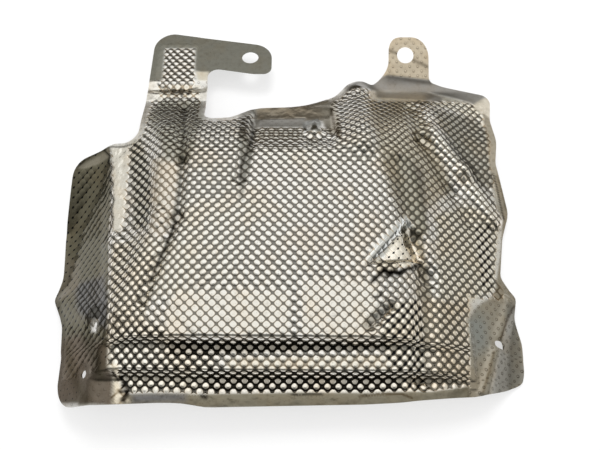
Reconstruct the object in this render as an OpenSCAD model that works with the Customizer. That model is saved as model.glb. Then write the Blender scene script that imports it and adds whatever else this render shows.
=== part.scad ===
// Exhaust heat shield: one pressed sheet of embossed aluminium.
// It is a shallow dish with a wing folded down along its left side, two pressed steps
// near its front edge, a long hooked arm and a short tab, each with a bolt hole.
// The blank is laid out flat (u to the right, v to the back) and then pressed into shape.

/* [Sheet] */
// Thickness of the aluminium sheet
sheet_t = 0.9; // [0.6:0.1:1.3]
// Flat margin that runs along every cut edge
margin_w = 3; // [2:0.5:6]

/* [Embossing] */
// Distance between two bumps of one row
bump_pitch = 8.0; // [8:0.2:11]
// Height of a bump above the grooves around it
bump_h = 1.9; // [0.8:0.1:2.4]

/* [Blank] */
// From the middle of the dish to the edge of the wing
wing_reach = 137; // [125:1:150]
// From the middle of the dish to its right edge
right_reach = 118; // [105:1:130]
// From the middle of the dish to its front edge
front_reach = 94; // [88:1:102]
// From the middle of the dish to its back edge, between arm and tab
back_reach = 85; // [80:1:92]

/* [Dish] */
// Height of the dish above the surface that it lies on
dish_h = 34; // [26:1:42]
// From the middle of the dish to the line where the left side turns down, at the back
left_break_back = 60; // [50:1:64]
// From the middle of the dish to the same line, at the front
left_break_front = 78; // [70:1:84]
// Fall of the left side
left_fall = 22.5; // [18:0.5:34]
// From the middle of the dish to the fold of the wing
wing_fold_x = 96; // [90:1:102]
// Fall of the wing beyond its fold
wing_fall = 38; // [34:1:50]
// From the middle of the dish to the line where the right side turns down
right_break = 47; // [40:1:56]
// Fall of the right side
right_fall = 24; // [16:1:30]
// From the middle of the dish to the line where the back turns down
back_break = 57; // [50:1:62]
// Fall of the back
back_fall = 32; // [24:1:38]

/* [Front steps] */
// Height of one step
step_h = 7.5; // [4:0.5:9]
// Plan width of the face of one step
step_run = 5; // [4:0.5:7]
// From the middle of the dish to the top of the first step
step_start = 57; // [52:1:60]
// Plan distance from one step to the next
step_gap = 14; // [11:0.5:16]
// Plan distance from the middle of the dish to the ends of the steps
step_reach = 52; // [40:1:60]

/* [Arm] */
// From the middle of the dish to the near side of the arm
arm_side = 55; // [48:1:60]
// Width of the arm
arm_w = 37; // [28:1:44]
// How far the arm rises behind the back edge
arm_rise = 62; // [54:1:72]
// How far the hooked end reaches back towards the middle
hook_reach = 38; // [32:1:50]
// Width of the hooked end
hook_w = 24; // [20:1:30]
// Height of the arm above the surface that the shield lies on
arm_z = 14; // [8:1:20]

/* [Tab] */
// From the middle of the dish to the middle line of the tab
tab_x = 67; // [60:1:74]
// Width of the tab
tab_w = 26; // [22:1:30]
// How far the tab rises behind its shoulder
tab_rise = 27; // [22:1:34]
// How far the shoulder of the tab lies behind the back edge
shoulder_rise = 24; // [18:1:28]
// Upward bend of the tab
tab_bend = 28; // [10:1:40]

/* [Holes] */
// Bolt hole in the arm and in the tab
bolt_d = 10; // [6:0.5:12]
// Clip hole near the front corner of the wing
wing_clip_d = 4; // [3:0.5:6]
// Width of the clip slot in the right flange
slot_w = 4; // [3:0.5:6]
// Length of that slot
slot_length = 7.5; // [6:0.5:10]

/* [Bare pads] */
// Width of the left pad
pad_a_w = 54; // [40:1:62]
// Width of the right pad
pad_b_w = 34; // [26:1:44]
// Depth of both pads, front to back
pad_d = 18; // [12:1:24]

/* [Hidden] */

// Side of one square of the mesh: bumps stand on every second one, like on a chessboard
cell = bump_pitch / 2;
arm_left = -arm_side - arm_w;
arm_back = back_reach + arm_rise;
hook_front = arm_back - 9 - hook_w;
hook_tip = -arm_side + hook_reach;
shoulder = back_reach + shoulder_rise;
tab_back = shoulder + tab_rise;
tab_bend_y = shoulder - 6;
clip_u = -wing_reach + 29;
clip_v = -front_reach + 17.5;
slot_u = right_reach - 14;
slot_v = -55;

// Rounding of the breaks between the dish, its sides, the wing and the flat edge
side_blend = 6;
back_blend = 10;
wing_blend = 2;
edge_blend = 4;
// The dish is a little lower on the right and arched
dish_tilt = 0.03;
dish_bow = 0.00012;
// Height of the front edge, and what the back edge is higher on the left and lower on the right
front_edge_z = 1.5;
arm_root_up = 2;
tab_root_down = 5;
back_edge_fall = 0.1;
// Slope at which the corner of the right flange is bent down
corner_fall = 0.45;
// How far the fold of the wing moves to the left for each mm to the back
wing_slant = 0.135;
// Hollow in the back edge of the dish, and the dent with the width of its edges
recess_depth = 3.2;
dent_depth = 3;
dent_edge = 4;

// Corners of the blank, counter-clockwise from the front of the wing: u, v, radius
BLANK = [
    [-wing_reach + 9, -front_reach - 0.5, 14], [-wing_reach + 39, -front_reach - 1.5, 20],
    [-55, -front_reach, 60], [-44, -front_reach - 1.7, 40],
    [right_reach * 0.4, -front_reach + 0.5, 60], [right_reach - 28, -front_reach + 4, 40],
    [right_reach - 0.3, -front_reach + 12.5, 18],
    [right_reach + 1, -52, 14], [right_reach - 2, -39, 8], [right_reach, -29, 5],
    [right_reach - 8, -18, 6], [right_reach - 3, 5, 14], [right_reach + 2.8, 20, 14],
    [right_reach - 2.5, 50, 16], [right_reach - 0.3, 66, 20], [right_reach - 2, 82, 10],
    [right_reach + 1, shoulder - 8, 7], [tab_x + 22, shoulder - 1, 20],
    [tab_x + tab_w / 2, shoulder + 2, 4], [tab_x + tab_w / 2, tab_back, 12],
    [tab_x - tab_w / 2, tab_back, 10], [tab_x - tab_w / 2, shoulder + 10, 10],
    [tab_x - 24, shoulder, 3], [tab_x - 31, back_reach + 27.5, 8], [tab_x - 39, back_reach + 22, 8],
    [tab_x - 47, back_reach + 12.5, 10], [0, back_reach + 1.2, 40], [-26, back_reach, 14],
    [-arm_side + 16, back_reach - 11.5, 8], [-arm_side + 1.5, back_reach - 13.5, 12],
    [-arm_side, hook_front + 5, 6], [-28, hook_front, 14], [hook_tip, hook_front, 11],
    [hook_tip, hook_front + hook_w - 2, 15], [-58, arm_back - 4, 60], [arm_left, arm_back + 2, 13],
    [arm_left, 57, 13], [-110, 58, 20], [-wing_reach + 1.5, 47.5, 14], [-wing_reach - 1.6, 10, 60],
    [-wing_reach + 1, -17, 20], [-wing_reach - 1.8, -29, 4], [-wing_reach + 6.4, -45, 8],
    [-wing_reach + 9, -66, 20]];

// Local creases and swellings that pressing and use have left, in plan:
// start x, start y, end x, end y, half width, height
CREASES = [
    [-66, 84, -62, 39, 5, -1.8],
    [-62, 39, -62, 5, 5, -1.8],
    [-62, 5, -75, -40, 5, -1.8],
    [-74, 62, -73, 5, 9, 1.7],
    [-73, 5, -86, -45, 9, 1.5],
    [-104, 53, -96, -4, 8, 1.2],
    [-96, -4, -92, -38, 8, 1.2],
    [-26, 68, -26, 50, 6, -1.2],
    [-28, 44, -31, 27, 6, -1.6],
    [34, 98, 34, 52, 13, 4],
    [8, 66, 8, 60, 6, 3],
    [64, 82, 67, 58, 8, -2.5],
    [67, 58, 82, 29, 8, -2.2],
    [82, 29, 90, 12, 7, -1.5],
    [74, 64, 91, 42, 8, 2.6],
    [91, 42, 105, 15, 8, 2.6],
    [51, 38, 58, -5, 9, -2.2],
    [58, -5, 63, -24, 8, -2.2],
    [63, -24, 58, -74, 8, -2],
    [44, -42, 33, -52, 4, -2],
    [-122, -30, -104, -42, 9, 2.5],
    [110, -30, 100, -50, 6, 1.5],
    [97, -58, 88, -79, 6, 1.8],
    [-86, 98, -57, 99, 5, -1.5]];

// Edges of the three-sided dent in the right of the dish: a point on the edge, then the way in
DENT = [
    [36, -18, 0.769, -0.641],
    [36, -20, -0.152, 0.988],
    [62, -16, -0.965, -0.263]];

function clamp(k) = min(1, max(0, k));
function ease(k) = let (c = clamp(k)) c * c * (3 - 2 * c);
function mix(a, b, k) = a + (b - a) * clamp(k);
// The lower and the higher of two surfaces, blended over k
function low_of(a, b, k) = min(a, b) - pow(max(k - abs(a - b), 0), 2) / (4 * k);
function high_of(a, b, k) = max(a, b) + pow(max(k - abs(a - b), 0), 2) / (4 * k);
// A fold over width w: level before it, rising one to one after it
function fold(t, w) = t <= -w / 2 ? 0 : t >= w / 2 ? t : pow(t + w / 2, 2) / (2 * w);
function foot(p, a, b) = let (e = b - a) a + e * clamp(((p - a) * e) / (e * e));
function crease(p, c) = let (d = norm(p - foot(p, [c[0], c[1]], [c[2], c[3]])))
    d < c[4] ? c[5] * (1 + cos(180 * d / c[4])) / 2 : 0;
function sum(v) = v * [for (i = v) 1];
function product(v) = v[0] * v[1] * v[2];

// Height of the outer face over the plan point x, y, without the bumps
function step_down(x, y) = step_h * (ease((-step_start - y) / step_run)
    + ease((-step_start - step_gap - y) / step_run));
function panel(x, y) = dish_h - dish_tilt * x - dish_bow * (x * x + y * y)
    - step_down(x, y) * mix(0.75, 1, min(step_reach + 14 + x, step_reach - x) / 22);
function left_side(x, y) = dish_h + 2
    + tan(left_fall) * (x + mix(left_break_front, left_break_back, (y + 45) / 48));
function wing(x, y) = left_side(x, y)
    + (tan(wing_fall) - tan(left_fall)) * (x + wing_fold_x + wing_slant * y);
function right_side(x, y) = dish_h - 1 - tan(right_fall) * (x - right_break);
function back_side(x, y) = dish_h - 1 - tan(back_fall) * (y - back_break);
function ledge(x, y) = mix(front_edge_z, mix(arm_z + arm_root_up, arm_z - tab_root_down, (x + 10) / 60)
    - back_edge_fall * (y - back_reach), (y - 10) / 50);
function dish(x, y) = low_of(low_of(low_of(low_of(panel(x, y), left_side(x, y), side_blend),
    right_side(x, y), side_blend), back_side(x, y), back_blend), wing(x, y), wing_blend);
function flange_corner(x, y) =
    corner_fall * fold((x - 99) * 0.94 - (y + 55) * 0.34, 3) * ease((-25 - y) / 20);
function recess(x, y) = recess_depth * ease((x + 29) / 5) * ease((21 - x) / 5)
    * ease((y - 42) / 14) * ease((84 - y) / 12);
function dent(x, y) = dent_depth * product([for (e = DENT)
    ease(((x - e[0]) * e[2] + (y - e[1]) * e[3]) / dent_edge + 0.5)]);
function pressed(x, y) = high_of(dish(x, y) - flange_corner(x, y), ledge(x, y), edge_blend)
    + tan(tab_bend) * fold(y - tab_bend_y, 8) * ease((x - tab_x + 22) / 8)
    + sum([for (c = CREASES) crease([x, y], c)]) - recess(x, y);
function form(x, y) = pressed(x, y) - dent(x, y);

// Where a line of the flat blank comes to lie in plan once the sheet is pressed
function steep(a, b) = sqrt(1 + pow(a - b, 2));
RIGHT = [for (x = 0, u = 0; x <= right_reach + 12;
    u = u + steep(pressed(x, 0), pressed(x + 1, 0)), x = x + 1) [u, x]];
LEFT = [for (x = 0, u = 0; x >= -wing_reach - 12;
    u = u - steep(pressed(x, 0), pressed(x - 1, 0)), x = x - 1) [u, x]];
BACK = [for (y = 0, v = 0; y <= arm_back + 12;
    v = v + steep(pressed(0, y), pressed(0, y + 1)), y = y + 1) [v, y]];
FRONT = [for (y = 0, v = 0; y >= -front_reach - 12;
    v = v - steep(pressed(0, y), pressed(0, y - 1)), y = y - 1) [v, y]];
function plan_x(u) = u < 0 ? lookup(u, LEFT) : lookup(u, RIGHT);
function plan_y(v) = v < 0 ? lookup(v, FRONT) : lookup(v, BACK);

// Outline of the blank with its corners rounded
function corner(a, p, b) =
    let (q = [p[0], p[1]], i = [a[0], a[1]] - q, o = [b[0], b[1]] - q, ui = i / norm(i), uo = o / norm(o),
         half = acos(ui * uo) / 2, room = 0.46 * min(norm(i), norm(o)), d = min(p[2] / tan(half), room),
         r = d * tan(half), mid = ui + uo, c = q + mid / norm(mid) * r / sin(half),
         s = q + ui * d - c, e = q + uo * d - c, turn = atan2(s[0] * e[1] - s[1] * e[0], s * e),
         n = ceil(abs(turn) / 18))
    [for (k = [0:n]) let (w = turn * k / n)
        c + [s[0] * cos(w) - s[1] * sin(w), s[0] * sin(w) + s[1] * cos(w)]];
OUTLINE = let (n = len(BLANK))
    [for (i = [0:n - 1]) each corner(BLANK[(i + n - 1) % n], BLANK[i], BLANK[(i + 1) % n])];
EDGES = [for (i = [0:len(OUTLINE) - 1]) [OUTLINE[i], OUTLINE[(i + 1) % len(OUTLINE)]]];

// Mesh points: a square grid on the blank, whose outer points are moved on to the outline
sight = margin_w + 2 * cell;
i_min = floor(min([for (p = OUTLINE) p[0]]) / cell) - 1;
i_max = ceil(max([for (p = OUTLINE) p[0]]) / cell) + 1;
j_min = floor(min([for (p = OUTLINE) p[1]]) / cell) - 1;
j_max = ceil(max([for (p = OUTLINE) p[1]]) / cell) + 1;
cols = i_max - i_min + 1;
rows = j_max - j_min + 1;
// Signed distance to the outline, inside positive, with the nearest point of the outline
GRID = [for (j = [j_min:j_max])
    let (v = j * cell,
         near = [for (e = EDGES)
             if (min(e[0][1], e[1][1]) < v + sight && max(e[0][1], e[1][1]) > v - sight) e],
         cuts = [for (e = EDGES) if ((e[0][1] > v) != (e[1][1] > v))
             e[0][0] + (v - e[0][1]) * (e[1][0] - e[0][0]) / (e[1][1] - e[0][1])])
    [for (i = [i_min:i_max])
        let (p = [i * cell, v], side = len([for (c = cuts) if (c > p[0]) 1]) % 2 == 1 ? 1 : -1,
             by = [for (e = near)
                 if (min(e[0][0], e[1][0]) < p[0] + sight && max(e[0][0], e[1][0]) > p[0] - sight)
                 foot(p, e[0], e[1])],
             d = [for (f = by) norm(f - p)], m = min(concat(d, [sight])))
        [side * m, m < sight ? by[search(m, d)[0]] : p]]];
function gap(i, j) = i < 0 || j < 0 || i >= cols || j >= rows ? -sight : GRID[j][i][0];
function is_deep(i, j) = gap(i, j) >= cell / 2;
// 0 is off the sheet, 1 is inside it and 2 is on its edge
STATE = [for (j = [0:rows - 1]) [for (i = [0:cols - 1])
    is_deep(i, j) ? 1 : gap(i, j) >= 0 ? 2 : gap(i, j) < -cell / 2 ? 0 :
    is_deep(i - 1, j) || is_deep(i + 1, j) || is_deep(i, j - 1) || is_deep(i, j + 1) ? 2 : 0]];
function flat_at(i, j) = STATE[j][i] == 2 ? GRID[j][i][1] : [(i + i_min) * cell, (j + j_min) * cell];

// Parts of the blank that have no bumps: left, right, front, back
pad_a_left = -59;
pad_a_back = -39;
pad_b_back = -33;
beyond = 9;
PLAIN = [
    [pad_a_left, pad_a_left + pad_a_w, pad_a_back - pad_d, pad_a_back],
    [0, pad_b_w, pad_b_back - pad_d - 6, pad_b_back],
    [-arm_side - 8, 0, back_reach + 14, arm_back + beyond],
    [-26, 18, back_reach - 20, back_reach + beyond],
    [tab_x - 26, right_reach + beyond, shoulder - 14, tab_back + beyond],
    [right_reach - 30, right_reach + beyond, -front_reach - beyond, -32],
    [arm_left, -arm_side - 7, arm_back - 9, arm_back + beyond],
    [-wing_reach - beyond, -90, -front_reach - beyond, clip_v + 4],
    [clip_u - 10, clip_u + 10, clip_v - 10, clip_v + 10]];

// How strongly the sheet is embossed at a point of the blank, from 0 to 1
function zone(z, p) = ease(min(p[0] - z[0], z[1] - p[0], p[1] - z[2], z[3] - p[1]) / cell + 0.5);
function embossing(p, d) = ease((d - margin_w) / cell + 0.3) * (1 - max([for (z = PLAIN) zone(z, p)]));

// Corner points of the sheet: the outer face first, then the inner face
function outer(x, y) = [x, y, form(x, y)];
function upright(x, y) =
    let (n = [form(x - 0.5, y) - form(x + 0.5, y), form(x, y - 0.5) - form(x, y + 0.5), 1]) n / norm(n);
function is_peak(i, j) = (i + i_min + j + j_min) % 2 == 0;
LIFT = [for (j = [0:rows - 1]) [for (i = [0:cols - 1]) STATE[j][i] == 1
    ? (is_peak(i, j) ? 0.5 : -0.5) * bump_h * embossing(flat_at(i, j), gap(i, j)) : 0]];
PAIRS = [for (j = [0:rows - 1]) for (i = [0:cols - 1])
    let (p = flat_at(i, j), x = plan_x(p[0]), y = plan_y(p[1]), n = upright(x, y))
    STATE[j][i] == 0 ? [[x, y, dish_h], [x, y, dish_h]]
        : [outer(x, y) + LIFT[j][i] * n, outer(x, y) + (LIFT[j][i] - sheet_t) * n]];
half_count = rows * cols;
POINTS = concat([for (p = PAIRS) p[0]], [for (p = PAIRS) p[1]]);

// Triangles of the outer face: each square is split between its two groove points, so that
// a bump is a pyramid of four, and a diamond of two stands in for a bump where the sheet is flat
function on_sheet(i, j) = STATE[j][i] > 0;
function is_plain(i, j) = is_peak(i, j) && STATE[j][i] == 1 && LIFT[j][i] < 0.02
    && on_sheet(i - 1, j) && on_sheet(i + 1, j) && on_sheet(i, j - 1) && on_sheet(i, j + 1);
function triangle(nodes) =
    let (s = [for (n = nodes) STATE[n[1]][n[0]]], plain = [for (n = nodes) if (is_plain(n[0], n[1])) 1])
    min(s) > 0 && min(s) < 2 && len(plain) == 0 ? [[for (n = nodes) n[1] * cols + n[0]]] : [];
function square_at(i, j) =
    let (q = [[i, j], [i + 1, j], [i + 1, j + 1], [i, j + 1]],
         missing = [for (k = [0:3]) if (!on_sheet(q[k][0], q[k][1])) k],
         k = len(missing) == 1 ? missing[0] : is_peak(i, j) ? 0 : 1)
    concat(triangle([q[k], q[(k + 1) % 4], q[(k + 3) % 4]]),
           triangle([q[(k + 1) % 4], q[(k + 2) % 4], q[(k + 3) % 4]]));
function diamond_at(i, j) = let (n = j * cols + i)
    [[n - 1, n - cols, n + 1], [n - 1, n + 1, n + cols]];
FACE = concat([for (j = [0:rows - 2]) for (i = [0:cols - 2]) each square_at(i, j)],
    [for (j = [1:rows - 2]) for (i = [1:cols - 2]) if (is_plain(i, j)) each diamond_at(i, j)]);
STATES = [for (r = STATE) each r];
SEAMS = [for (t = FACE) for (k = [0:2]) let (a = t[k], b = t[(k + 1) % 3])
    if (STATES[a] == 2 && STATES[b] == 2) [a, b]];
SEAM_KEYS = [for (e = SEAMS) e[0] * half_count + e[1]];
RIM = [for (e = SEAMS) if (len(search(e[1] * half_count + e[0], SEAM_KEYS)) == 0) e];

USED = [for (k = [0:half_count - 1]) if (STATES[k] > 0) POINTS[k]];
USED_IN = [for (k = [0:half_count - 1]) if (STATES[k] > 0) POINTS[half_count + k]];
ALL_USED = concat(USED, USED_IN);
low_x = min([for (p = ALL_USED) p[0]]);
high_x = max([for (p = ALL_USED) p[0]]);
low_y = min([for (p = ALL_USED) p[1]]);
high_y = max([for (p = ALL_USED) p[1]]);
low_z = min([for (p = ALL_USED) p[2]]);

module sheet() {
    m = half_count;
    polyhedron(points = POINTS, faces = concat(
        [for (t = FACE) [t[0], t[2], t[1]]],
        [for (t = FACE) [t[0] + m, t[1] + m, t[2] + m]],
        [for (e = RIM) each [[e[0], e[1], e[1] + m], [e[0], e[1] + m, e[0] + m]]]));
}

// Sets its children square to the sheet at a point of the blank
module square_to_sheet(u, v) {
    x = plan_x(u);
    y = plan_y(v);
    n = upright(x, y);
    way = atan2(n[1], n[0]);
    translate(outer(x, y)) rotate([0, acos(n[2]), way]) rotate([0, 0, -way]) children();
}

module round_hole(u, v, d) {
    square_to_sheet(u, v) cylinder(h = 10, d = d, center = true, $fn = 48);
}

module slot(u, v, d, length) {
    half = (length - d) / 2;
    square_to_sheet(u, v) {
        for (side = [-1, 1]) translate([side * half, 0, 0]) cylinder(h = 10, d = d, center = true, $fn = 48);
        cube([2 * half, d, 10], center = true);
    }
}

module heat_shield() {
    color([0.74, 0.72, 0.68])
    translate([-(low_x + high_x) / 2, -(low_y + high_y) / 2, -low_z])
    difference() {
        sheet();
        round_hole(-arm_side + 25, arm_back - 20, bolt_d);
        round_hole(tab_x - 2, tab_back - 10, bolt_d);
        round_hole(clip_u, clip_v, wing_clip_d);
        slot(slot_u, slot_v, slot_w, slot_length);
    }
}

heat_shield();
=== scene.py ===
import math
import bmesh
import bpy
import numpy as np
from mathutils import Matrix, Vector


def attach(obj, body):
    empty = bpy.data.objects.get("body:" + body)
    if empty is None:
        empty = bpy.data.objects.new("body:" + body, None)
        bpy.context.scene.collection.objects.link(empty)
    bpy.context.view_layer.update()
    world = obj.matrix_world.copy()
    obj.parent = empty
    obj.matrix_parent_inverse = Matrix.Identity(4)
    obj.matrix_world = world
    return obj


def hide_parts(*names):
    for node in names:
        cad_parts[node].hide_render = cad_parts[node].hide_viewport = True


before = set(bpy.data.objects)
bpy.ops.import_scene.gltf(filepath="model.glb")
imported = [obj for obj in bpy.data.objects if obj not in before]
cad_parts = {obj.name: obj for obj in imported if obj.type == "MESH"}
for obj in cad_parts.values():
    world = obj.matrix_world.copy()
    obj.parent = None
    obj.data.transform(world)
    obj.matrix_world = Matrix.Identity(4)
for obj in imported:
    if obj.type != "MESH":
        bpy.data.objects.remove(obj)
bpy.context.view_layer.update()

# Heat shield: one thin aluminium sheet, embossed all over with small round bumps. It is cut
# flat to its outline with four holes, then pressed into a shallow dish with a wing, two steps,
# a hooked arm and a tab. Bolts through the arm and the tab hold it over the exhaust.
MM = 0.001
SHEET_T = 0.9
PITCH = 5.2                     # from bump to bump in a row
BUMP_H, BUMP_SUNK = 0.45, 0.4   # height of a bump, and the share of it that lies below the sheet
CELL = PITCH / math.sqrt(2)     # from groove to groove
STEP = CELL / 4                 # of the grid that the blank is cut from
GRID = 370                      # steps along one side of that grid
SHIFT = (6.893, -27.536, -0.6)  # from the layout's origin to the middle of the shield

# the flat blank, u to the right and v to the back
WING, RIGHT_R, FRONT, BACK = 137, 118, 94, 85
ARM_SIDE, ARM_LEFT, ARM_BACK = 55, -92, 147
TAB_X, TAB_W, SHOULDER, TAB_BACK = 67, 26, 109, 136
BOLT_R, CLIP_R, CLIP_SLOT = 5, 2, 7.5
BORDER = 3                      # smooth strip along every cut edge

# its outline: corners, each with its radius
BLANK = [
    (-WING + 9, -FRONT - 0.5, 14), (-WING + 39, -FRONT - 1.5, 20), (-55, -FRONT, 60),
    (-44, -FRONT - 1.7, 40), (RIGHT_R * 0.4, -FRONT + 0.5, 60), (RIGHT_R - 28, -FRONT + 4, 40),
    (RIGHT_R - 0.3, -FRONT + 12.5, 18), (RIGHT_R + 1, -52, 14), (RIGHT_R - 2, -39, 8),
    (RIGHT_R, -29, 5), (RIGHT_R - 8, -18, 6), (RIGHT_R - 3, 5, 14), (RIGHT_R + 2.8, 20, 14),
    (RIGHT_R - 2.5, 50, 16), (RIGHT_R - 0.3, 66, 20), (RIGHT_R - 2, 82, 10),
    (RIGHT_R + 1, SHOULDER - 8, 7), (TAB_X + 22, SHOULDER - 1, 20),
    (TAB_X + TAB_W / 2, SHOULDER + 2, 4), (TAB_X + TAB_W / 2, TAB_BACK, 12),
    (TAB_X - TAB_W / 2, TAB_BACK, 10), (TAB_X - TAB_W / 2, SHOULDER + 10, 10),
    (TAB_X - 24, SHOULDER, 3), (TAB_X - 31, BACK + 27.5, 8), (TAB_X - 39, BACK + 22, 8),
    (TAB_X - 47, BACK + 12.5, 10), (0, BACK + 1.2, 40), (-26, BACK, 14),
    (-ARM_SIDE + 16, BACK - 11.5, 8), (-ARM_SIDE + 1.5, BACK - 13.5, 12), (-ARM_SIDE, 119, 6),
    (-28, 114, 14), (-17, 114, 11), (-17, 136, 15), (-58, ARM_BACK - 4, 60),
    (ARM_LEFT, ARM_BACK + 2, 13), (ARM_LEFT, 57, 13), (-110, 58, 20), (-WING + 1.5, 47.5, 14),
    (-WING - 1.6, 10, 60), (-WING + 1, -17, 20), (-WING - 1.8, -29, 4), (-WING + 6.4, -45, 8),
    (-WING + 9, -66, 20)]

# ridges and valleys in plan: start x, start y, end x, end y, half width, height
CREASES = [
    (-66, 84, -62, 39, 5, -1.8), (-62, 39, -62, 5, 5, -1.8), (-62, 5, -75, -40, 5, -1.8),
    (-74, 62, -73, 5, 9, 1.7), (-73, 5, -86, -45, 9, 1.5),
    (-104, 53, -96, -4, 8, 1.2), (-96, -4, -92, -38, 8, 1.2),
    (-26, 68, -26, 50, 6, -1.2), (-28, 44, -31, 27, 6, -1.6),
    (34, 98, 34, 52, 13, 4), (8, 66, 8, 60, 6, 3),
    (64, 82, 67, 58, 8, -2.5), (67, 58, 82, 29, 8, -2.2), (82, 29, 90, 12, 7, -1.5),
    (74, 64, 91, 42, 8, 2.6), (91, 42, 105, 15, 8, 2.6),
    (51, 38, 58, -5, 9, -2.2), (58, -5, 63, -24, 8, -2.2), (63, -24, 58, -74, 8, -2),
    (44, -42, 33, -52, 4, -2),
    (-122, -30, -104, -42, 9, 2.5), (110, -30, 100, -50, 6, 1.5), (97, -58, 88, -79, 6, 1.8),
    (-86, 98, -57, 99, 5, -1.5)]

# edges of the three-sided dent: a point on the edge, then the way in
DENT = [(36, -18, 0.769, -0.641), (36, -20, -0.152, 0.988), (62, -16, -0.965, -0.263)]
DENT_DEEP = 3.0

# how steeply the sides fall and the tab rises
LEFT_FALL, WING_FALL, RIGHT_FALL, BACK_FALL, TAB_RISE = (
    math.tan(math.radians(angle)) for angle in (22.5, 38, 24, 32, 28))
# heights of the panel in its middle, and of the sides where they would meet it
PANEL_TOP, LEFT_TOP, RIGHT_TOP, BACK_TOP = 34, 36, 33, 33
# where the two steps start, how far each runs and drops, and how deep the recess is
BACK_STEP, FRONT_STEP, STEP_RUN, STEP_DROP = -57, -71, 5, 7.5
RECESS_DEEP = 3.2


def clamp(k):
    return np.clip(k, 0, 1)


def ease(k):
    c = clamp(k)
    return c * c * (3 - 2 * c)


def mix(a, b, k):
    return a + (b - a) * clamp(k)


def low_of(a, b, k):
    """The lower of two surfaces, blended over k where they meet."""
    return np.minimum(a, b) - np.maximum(k - np.abs(a - b), 0) ** 2 / (4 * k)


def high_of(a, b, k):
    """The higher of two surfaces, blended over k where they meet."""
    return np.maximum(a, b) + np.maximum(k - np.abs(a - b), 0) ** 2 / (4 * k)


def fold(t, w):
    """0 up to a fold line and rising past it, with the bend spread over the width w."""
    return np.where(t <= -w / 2, 0, np.where(t >= w / 2, t, (t + w / 2) ** 2 / (2 * w)))


def away(x, y, ax, ay, bx, by):
    """Distance from the line between two plan points."""
    ex, ey = bx - ax, by - ay
    k = clamp(((x - ax) * ex + (y - ay) * ey) / (ex * ex + ey * ey))
    return np.hypot(x - ax - ex * k, y - ay - ey * k)


def swelling(x, y, c):
    """One ridge or valley, rounded across and at both ends."""
    d = away(x, y, *c[:4])
    return np.where(d < c[4], c[5] * (1 + np.cos(np.pi * d / c[4])) / 2, 0)


def pressed(x, y):
    """Height of the outer face over a plan point as the press leaves it, without the bumps."""
    steps = STEP_DROP * (ease((BACK_STEP - y) / STEP_RUN) + ease((FRONT_STEP - y) / STEP_RUN))
    panel = PANEL_TOP - 0.03 * x - 0.00012 * (x * x + y * y)
    panel = panel - steps * mix(0.75, 1, np.minimum(66 + x, 52 - x) / 22)
    left = LEFT_TOP + LEFT_FALL * (x + mix(78, 60, (y + 45) / 48))
    wing = left + (WING_FALL - LEFT_FALL) * (x + 96 + 0.135 * y)
    right = RIGHT_TOP - RIGHT_FALL * (x - 47)
    back = BACK_TOP - BACK_FALL * (y - 57)
    ledge = mix(1.5, mix(16, 9, (x + 10) / 60) - 0.1 * (y - 85), (y - 10) / 50)
    dish = low_of(low_of(low_of(low_of(panel, left, 6), right, 6), back, 10), wing, 2)
    corner = 0.45 * fold((x - 99) * 0.94 - (y + 55) * 0.34, 3) * ease((-25 - y) / 20)
    z = high_of(dish - corner, ledge, 4)
    z = z + TAB_RISE * fold(y - 103, 8) * ease((x - TAB_X + 22) / 8)
    recess = ease((x + 29) / 5) * ease((21 - x) / 5) * ease((y - 42) / 14) * ease((84 - y) / 12)
    z = z - RECESS_DEEP * recess
    for c in CREASES:
        z = z + swelling(x, y, c)
    return z


def form(x, y):
    """The same height with the dent that use has left in it."""
    dent = DENT_DEEP
    for ex, ey, inx, iny in DENT:
        dent = dent * ease(((x - ex) * inx + (y - ey) * iny) / 4 + 0.5)
    return pressed(x, y) - dent


def rounded(corners):
    """The outline of the blank, with an arc at each corner and a point at least every 8 degrees."""
    line = []
    n = len(corners)
    for k in range(n):
        a, p, b = (np.array(corners[i % n][:2], float) for i in (k - 1, k, k + 1))
        i, o = a - p, b - p
        li, lo = np.linalg.norm(i), np.linalg.norm(o)
        ui, uo = i / li, o / lo
        half = math.acos(max(-1, min(1, float(ui @ uo)))) / 2
        d = min(corners[k][2] / math.tan(half), 0.46 * min(li, lo))
        mid = ui + uo
        c = p + mid / np.linalg.norm(mid) * d * math.tan(half) / math.sin(half)
        s, e = p + ui * d - c, p + uo * d - c
        turn = math.atan2(s[0] * e[1] - s[1] * e[0], float(s @ e))
        m = max(1, math.ceil(abs(turn) / math.radians(8)))
        for j in range(m + 1):
            w = turn * j / m
            line.append((c[0] + s[0] * math.cos(w) - s[1] * math.sin(w),
                         c[1] + s[0] * math.sin(w) + s[1] * math.cos(w)))
    return line


def walk(stop, along_x):
    """Length of sheet from the middle to each mm of a line in plan, out to stop."""
    t = np.arange(0, abs(stop) + 1.0) * (1 if stop > 0 else -1)
    z = pressed(t, 0 * t) if along_x else pressed(0 * t, t)
    flat = np.concatenate([[0], np.cumsum(np.sqrt(1 + np.diff(z) ** 2))])
    return flat, t


def table_of(low, high, along_x):
    """Places on the flat blank, and where each comes to lie in plan once it is pressed."""
    fl, tl = walk(low, along_x)
    fh, th = walk(high, along_x)
    return np.concatenate([-fl[:0:-1], fh]), np.concatenate([tl[:0:-1], th])


SPARE = 12                      # the tables reach this much past the blank
U_FLAT, U_PLAN = table_of(-WING - SPARE, RIGHT_R + SPARE, True)
V_FLAT, V_PLAN = table_of(-FRONT - SPARE, ARM_BACK + SPARE, False)


def plan_x(u):
    """Where a place on the blank comes to lie from left to right."""
    return np.interp(u, U_FLAT, U_PLAN)


def plan_y(v):
    """Where a place on the blank comes to lie from front to back."""
    return np.interp(v, V_FLAT, V_PLAN)


def upright(x, y, reach=0.4):
    """The direction square to the sheet over a plan point."""
    n = np.stack([form(x - reach, y) - form(x + reach, y), form(x, y - reach) - form(x, y + reach),
                  np.full_like(x, 2 * reach)], -1)
    return n / np.linalg.norm(n, axis=-1, keepdims=True)


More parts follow.
